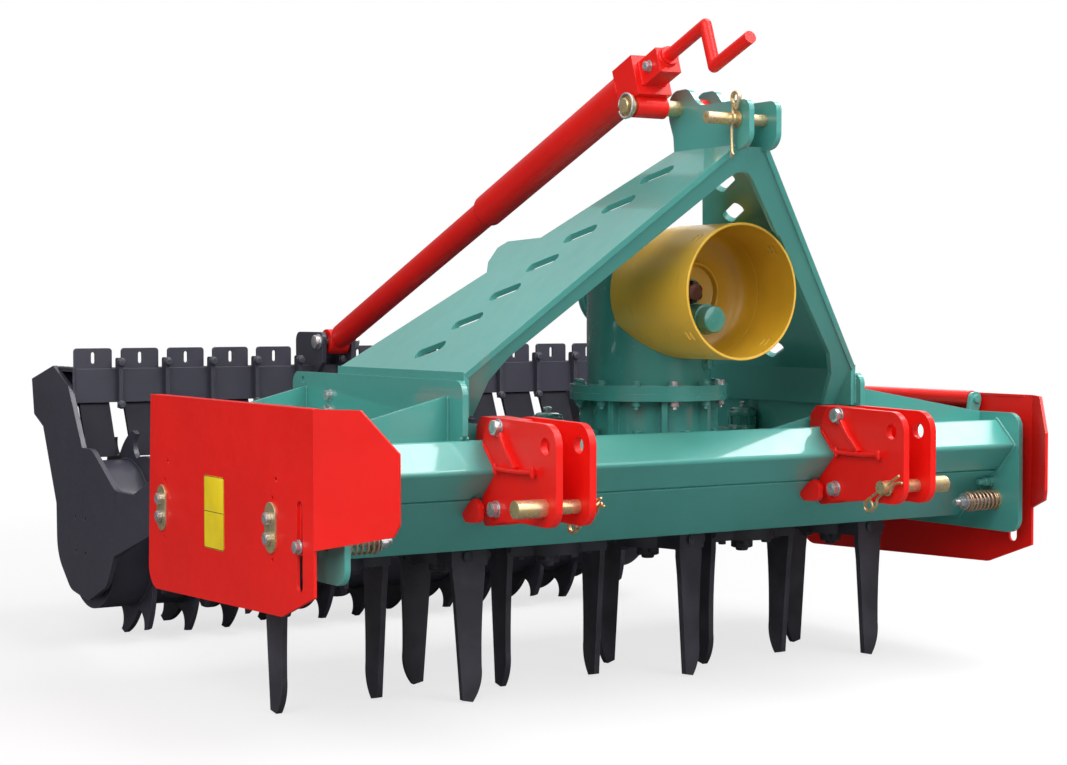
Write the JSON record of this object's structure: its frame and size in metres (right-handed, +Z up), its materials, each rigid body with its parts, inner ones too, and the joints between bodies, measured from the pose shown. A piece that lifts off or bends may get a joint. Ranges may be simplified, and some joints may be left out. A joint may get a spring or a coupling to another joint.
{
  "type": "power harrow with toothed packer roller",
  "caption": "Tractor-mounted power harrow: rotors with knife tines in a gear trough, bent headstock with gearbox, side plates and a toothed packer roller set by a crank spindle.",
  "frame": {"origin": "on the floor under the middle of the machine's bounding box", "axes": "+X to the right seen from the tractor, +Y to the rear, +Z up"},
  "size_m": [1.512, 1.8408, 1.1179],
  "materials": {
    "teal_paint": "gloss",
    "red_paint": "gloss",
    "anthracite_paint": "satin",
    "yellow_zinc": "yellow zinc plated",
    "silver_zinc": "silver zinc plated",
    "ochre_plastic": "matte",
    "black_steel": "satin",
    "shaft_steel": "rust-proofed steel"
  },
  "bodies": {
    "frame": {"front_beam": "teal_paint", "gear_trough": "teal_paint", "trough_lid": "teal_paint", "bearing_caps": "teal_paint", "gearbox_base": "teal_paint", "gearbox_case": "teal_paint", "pto_guard": "ochre_plastic", "top_link_pin": "yellow_zinc", "ear_spacer": "red_paint", "spindle_pin": "yellow_zinc", "end_plate_left": "teal_paint", "console_left": "teal_paint", "console_ribs_left": "teal_paint", "headstock_arm_left": "teal_paint", "hitch_bracket_left": "red_paint", "bracket_clamps_left": "red_paint", "lower_link_pin_left": "yellow_zinc", "end_plate_right": "teal_paint", "console_right": "teal_paint", "console_ribs_right": "teal_paint", "headstock_arm_right": "teal_paint", "hitch_bracket_right": "red_paint", "bracket_clamps_right": "red_paint", "lower_link_pin_right": "yellow_zinc"},
    "rotor_1": {"rotor_hub_1": "black_steel", "tines_1": "black_steel"},
    "rotor_2": {"rotor_hub_2": "black_steel", "tines_2": "black_steel"},
    "rotor_3": {"rotor_hub_3": "black_steel", "tines_3": "black_steel"},
    "rotor_4": {"rotor_hub_4": "black_steel", "tines_4": "black_steel"},
    "rotor_5": {"rotor_hub_5": "black_steel", "tines_5": "black_steel"},
    "rotor_6": {"rotor_hub_6": "black_steel", "tines_6": "black_steel"},
    "input_shaft": {"input_shaft": "shaft_steel"},
    "roller_frame": {"roller_cheek_left": "anthracite_paint", "roller_cheek_right": "anthracite_paint", "roller_bearing_left": "anthracite_paint", "roller_bearing_right": "anthracite_paint", "roller_crossbar": "anthracite_paint", "scraper_tabs": "anthracite_paint", "scraper_clamps": "anthracite_paint", "scrapers": "anthracite_paint", "spindle_clevis": "anthracite_paint", "clevis_pin": "silver_zinc"},
    "roller": {"roller_drum": "anthracite_paint"},
    "spindle_tube": {"spindle_tube": "red_paint", "spindle_head": "red_paint", "crank_handle": "red_paint"},
    "spindle_rod": {"spindle_rod": "red_paint"},
    "side_plate_left": {"side_plate_left": "red_paint", "side_hinge_left": "red_paint"},
    "spring_bolt_left": {"spring_bolt_left": "silver_zinc"},
    "side_plate_right": {"side_plate_right": "red_paint", "side_hinge_right": "red_paint"},
    "spring_bolt_right": {"spring_bolt_right": "silver_zinc"}
  },
  "joints": [
    {"name": "rotor_1_spin", "type": "hinge", "parent": "frame", "child": "rotor_1", "pos_m": [-0.55, -0.27, 0.255], "axis": [0, 0, 1], "continuous": true},
    {"name": "rotor_2_spin", "type": "hinge", "parent": "frame", "child": "rotor_2", "pos_m": [-0.33, -0.27, 0.255], "axis": [0, 0, 1], "continuous": true},
    {"name": "rotor_3_spin", "type": "hinge", "parent": "frame", "child": "rotor_3", "pos_m": [-0.11, -0.27, 0.255], "axis": [0, 0, 1], "continuous": true},
    {"name": "rotor_4_spin", "type": "hinge", "parent": "frame", "child": "rotor_4", "pos_m": [0.11, -0.27, 0.255], "axis": [0, 0, 1], "continuous": true},
    {"name": "rotor_5_spin", "type": "hinge", "parent": "frame", "child": "rotor_5", "pos_m": [0.33, -0.27, 0.255], "axis": [0, 0, 1], "continuous": true},
    {"name": "rotor_6_spin", "type": "hinge", "parent": "frame", "child": "rotor_6", "pos_m": [0.55, -0.27, 0.255], "axis": [0, 0, 1], "continuous": true},
    {"name": "input_spin", "type": "hinge", "parent": "frame", "child": "input_shaft", "pos_m": [0, -0.547, 0.697], "axis": [0, 1, 0], "continuous": true},
    {"name": "roller_lift", "type": "hinge", "parent": "frame", "child": "roller_frame", "pos_m": [0, 0.085, 0.345], "axis": [1, 0, 0], "range_deg": [-4, 12]},
    {"name": "roller_spin", "type": "hinge", "parent": "roller_frame", "child": "roller", "pos_m": [0, 0.619, 0.212], "axis": [1, 0, 0], "continuous": true},
    {"name": "spindle_swing", "type": "hinge", "parent": "frame", "child": "spindle_tube", "pos_m": [-0.145, -0.63, 0.996], "axis": [1, 0, 0], "range_deg": [-1.43, 4.08]},
    {"name": "spindle_slide", "type": "slide", "parent": "spindle_tube", "child": "spindle_rod", "axis": [0.052, 0.9425, -0.3301], "range_m": [-0.092, 0.0313]},
    {"name": "side_plate_left_swing", "type": "hinge", "parent": "frame", "child": "side_plate_left", "pos_m": [-0.721, -0.234, 0.497], "axis": [0, 1, 0], "range_deg": [0, 8], "stiffness_Nm_per_rad": 400},
    {"name": "spring_bolt_left_slide", "type": "slide", "parent": "frame", "child": "spring_bolt_left", "axis": [-1, 0, 0], "range_m": [0, 0.0285]},
    {"name": "side_plate_right_swing", "type": "hinge", "parent": "frame", "child": "side_plate_right", "pos_m": [0.721, -0.234, 0.497], "axis": [0, -1, 0], "range_deg": [0, 8], "stiffness_Nm_per_rad": 400},
    {"name": "spring_bolt_right_slide", "type": "slide", "parent": "frame", "child": "spring_bolt_right", "axis": [1, 0, 0], "range_m": [0, 0.0285]}
  ],
  "couplings": [
    {"joint": "rotor_2_spin", "follows": "rotor_1_spin", "ratio": -1},
    {"joint": "rotor_3_spin", "follows": "rotor_1_spin", "ratio": 1},
    {"joint": "rotor_4_spin", "follows": "rotor_1_spin", "ratio": -1},
    {"joint": "rotor_5_spin", "follows": "rotor_1_spin", "ratio": 1},
    {"joint": "rotor_6_spin", "follows": "rotor_1_spin", "ratio": -1},
    {"joint": "input_spin", "follows": "rotor_1_spin", "ratio": 1.8},
    {"joint": "spindle_swing", "follows": "roller_lift", "ratio": 0.3314},
    {"joint": "spindle_slide", "follows": "roller_lift", "m_per_rad": -0.43429},
    {"joint": "spring_bolt_left_slide", "follows": "side_plate_left_swing", "m_per_rad": 0.198},
    {"joint": "spring_bolt_right_slide", "follows": "side_plate_right_swing", "m_per_rad": 0.198}
  ]
}
